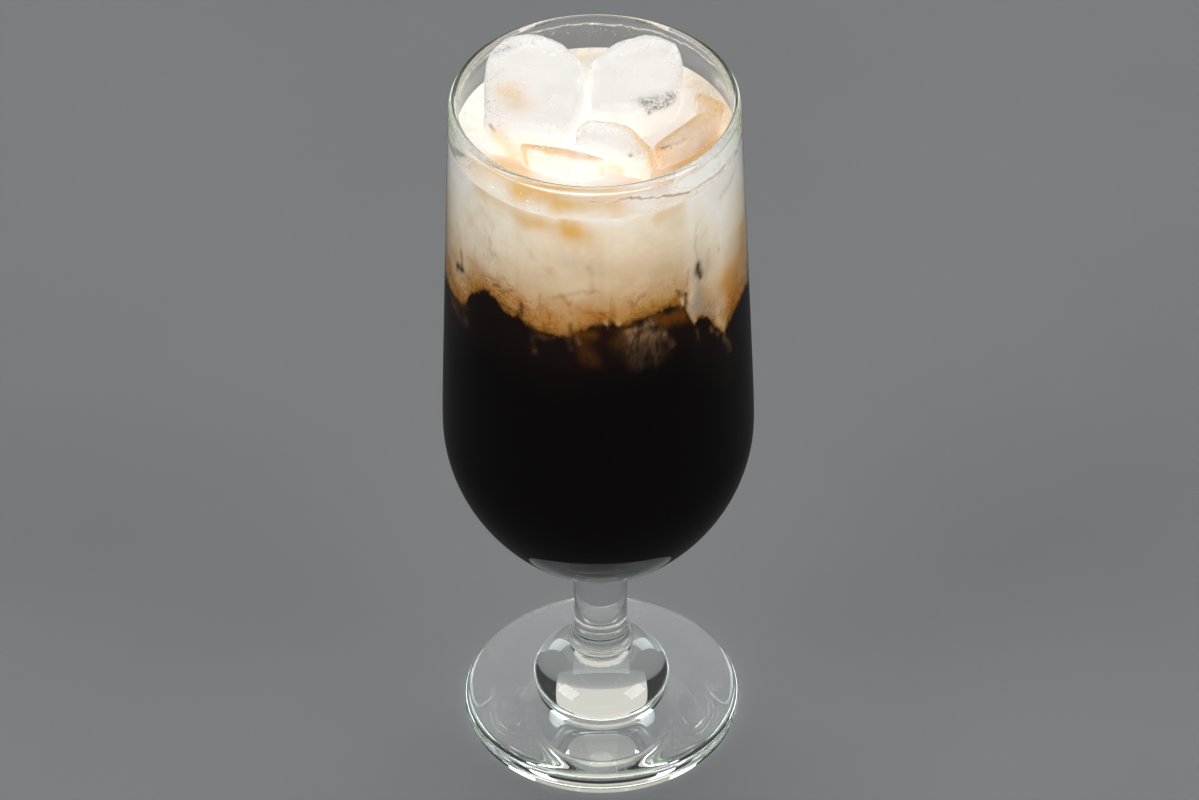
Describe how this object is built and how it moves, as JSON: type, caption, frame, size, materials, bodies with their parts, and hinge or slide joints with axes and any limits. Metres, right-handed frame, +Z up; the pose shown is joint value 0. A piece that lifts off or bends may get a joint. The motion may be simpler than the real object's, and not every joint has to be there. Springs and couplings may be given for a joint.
{
  "type": "thai iced coffee",
  "caption": "Iced black coffee under a layer of milk with ice standing in it, in a tall footed glass with a knopped stem.",
  "frame": {"origin": "centre of the foot's underside, on the table", "axes": "+Z up along the glass's axis; the side that the picture shows faces -Y, its right is +X"},
  "size_m": [0.075, 0.075, 0.1916],
  "materials": {
    "clear_glass": "clear, fire polished, faint green at the edges",
    "black_coffee": "still liquid, near black, brown where milk thins it",
    "creamy_milk": "opaque liquid, cream with amber streaks of coffee",
    "cloudy_ice": "wet, cloudy, rounded by melting, stained amber in places"
  },
  "bodies": {
    "root": {"glass": "clear_glass", "coffee": "black_coffee", "milk": "creamy_milk", "ice_left": "cloudy_ice", "ice_right": "cloudy_ice", "ice_front": "cloudy_ice", "ice_slab": "cloudy_ice", "ice_amber": "cloudy_ice"}
  },
  "joints": []
}
